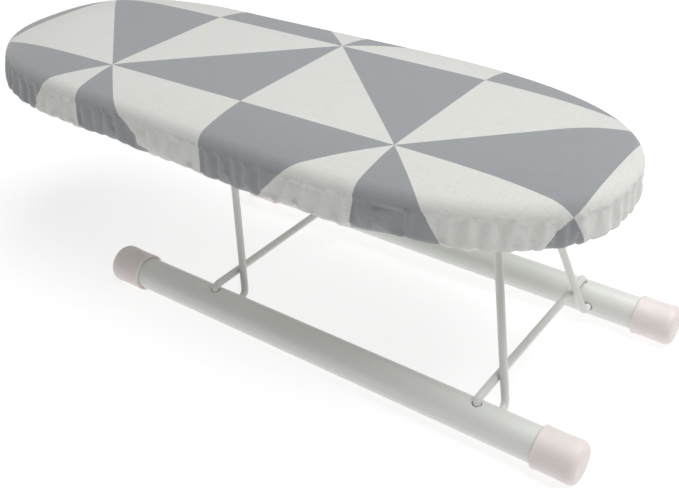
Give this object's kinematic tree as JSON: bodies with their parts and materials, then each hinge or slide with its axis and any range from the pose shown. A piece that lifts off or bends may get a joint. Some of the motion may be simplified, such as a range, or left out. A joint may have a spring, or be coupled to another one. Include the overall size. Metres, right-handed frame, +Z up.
{
  "type": "table-top ironing board",
  "caption": "Small table-top ironing board: padded, cloth-covered board on wire leg frames that fold together onto a base of capped foot tubes.",
  "frame": {"origin": "on the table, under the middle of the whole object's length and width", "axes": "+X along the board towards the end that stands over the feet, +Y to the left, +Z up"},
  "size_m": [0.4814, 0.1892, 0.156],
  "materials": {
    "cover_cotton": "matte plain-woven cotton, printed with grey triangles on off-white",
    "elastic": "woven elastic cord",
    "foam": "soft open-cell foam",
    "panel_paint": "semi-gloss powder coat",
    "white_paint": "semi-gloss powder coat, warm white",
    "cap_plastic": "soft satin plastic, pale pinkish white",
    "zinc": "dull zinc plate"
  },
  "bodies": {
    "base": {"left_foot_tube": "white_paint", "right_foot_tube": "white_paint", "front_left_foot_cap": "cap_plastic", "front_right_foot_cap": "cap_plastic", "rear_left_foot_cap": "cap_plastic", "rear_right_foot_cap": "cap_plastic", "front_cross_rod": "white_paint", "rear_cross_rod": "white_paint"},
    "front_leg": {"front_leg_frame": "white_paint"},
    "rear_leg": {"rear_leg_frame": "white_paint"},
    "board": {"fabric_cover": "cover_cotton", "hem_elastic": "elastic", "foam_pad": "foam", "board_panel": "panel_paint", "front_pivot_bracket": "zinc", "rear_pivot_bracket": "zinc", "front_bracket_rivet_fore_left": "zinc", "front_bracket_rivet_fore_right": "zinc", "front_bracket_rivet_aft_left": "zinc", "front_bracket_rivet_aft_right": "zinc", "rear_bracket_rivet_fore_left": "zinc", "rear_bracket_rivet_fore_right": "zinc", "rear_bracket_rivet_aft_left": "zinc", "rear_bracket_rivet_aft_right": "zinc"}
  },
  "joints": [
    {"name": "front_leg_fold", "type": "hinge", "parent": "base", "child": "front_leg", "pos_m": [0.18525, 0, 0.013], "axis": [0, 1, 0], "range_deg": [0, 91]},
    {"name": "rear_leg_fold", "type": "hinge", "parent": "base", "child": "rear_leg", "pos_m": [-0.01075, 0, 0.013], "axis": [0, 1, 0], "range_deg": [0, 91]},
    {"name": "board_level", "type": "hinge", "parent": "front_leg", "child": "board", "pos_m": [0.14929, 0, 0.1376], "axis": [0, 1, 0], "range_deg": [-91, 0]}
  ],
  "couplings": [
    {"joint": "rear_leg_fold", "follows": "front_leg_fold", "ratio": 1},
    {"joint": "board_level", "follows": "front_leg_fold", "ratio": -1}
  ]
}
